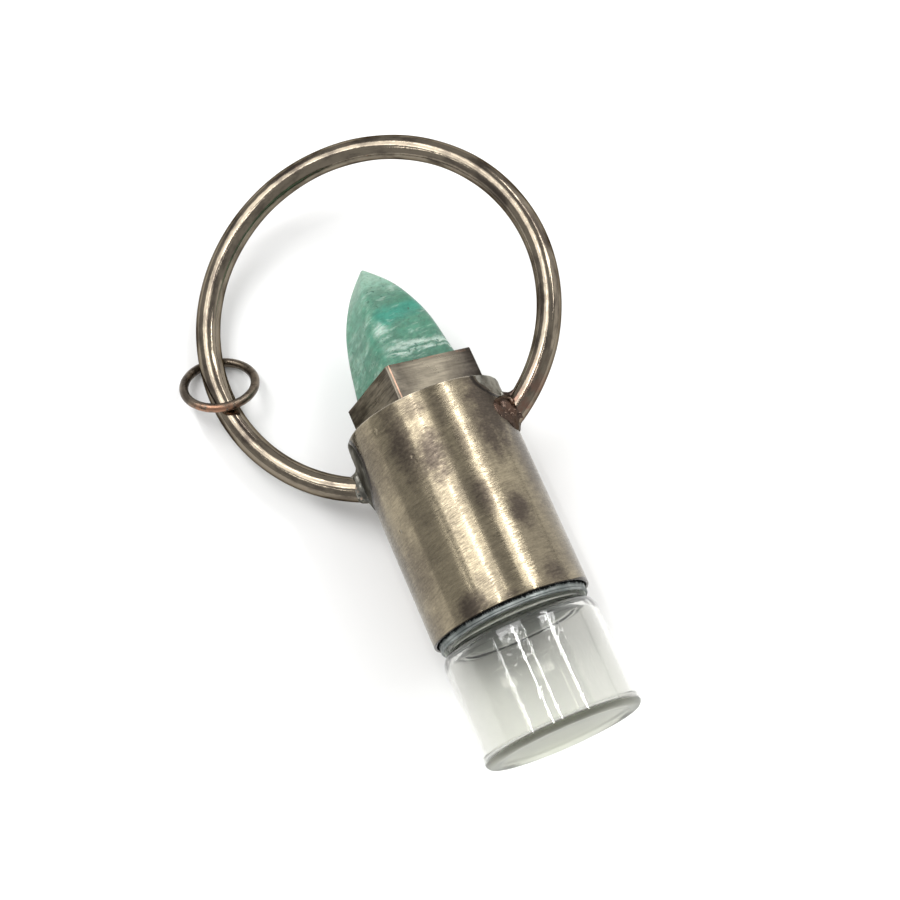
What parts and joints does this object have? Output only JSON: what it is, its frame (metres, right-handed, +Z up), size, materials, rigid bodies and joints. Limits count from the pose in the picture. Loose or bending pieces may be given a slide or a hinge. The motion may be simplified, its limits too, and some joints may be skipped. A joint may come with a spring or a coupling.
{
  "type": "bottle pendant",
  "caption": "Lying pendant: a metal sleeve with a stone point in a square collar, a large soldered hoop, a jump ring, and a clear glass vial screwed into the sleeve's lower end.",
  "frame": {"origin": "on the surface that the pendant lies on, under the middle of its bounding box", "axes": "+Y along the sleeve's axis from the vial to the stone's tip, +X towards the raised side of the hoop, +Z up"},
  "size_m": [0.0544, 0.0917, 0.0224],
  "materials": {
    "antique_brass": "satin",
    "green_stone": "polished",
    "copper_wire": "satin",
    "cap_aluminium": "satin",
    "clear_glass": "polished"
  },
  "bodies": {
    "frame": {"soldered_frame": "antique_brass", "stone_point": "green_stone", "jump_ring": "copper_wire", "screw_cap": "cap_aluminium"},
    "vial": {"glass_vial": "clear_glass"}
  },
  "joints": [
    {"name": "vial_out", "type": "slide", "parent": "frame", "child": "vial", "axis": [0, -1, 0], "range_m": [0, 0.025]}
  ]
}
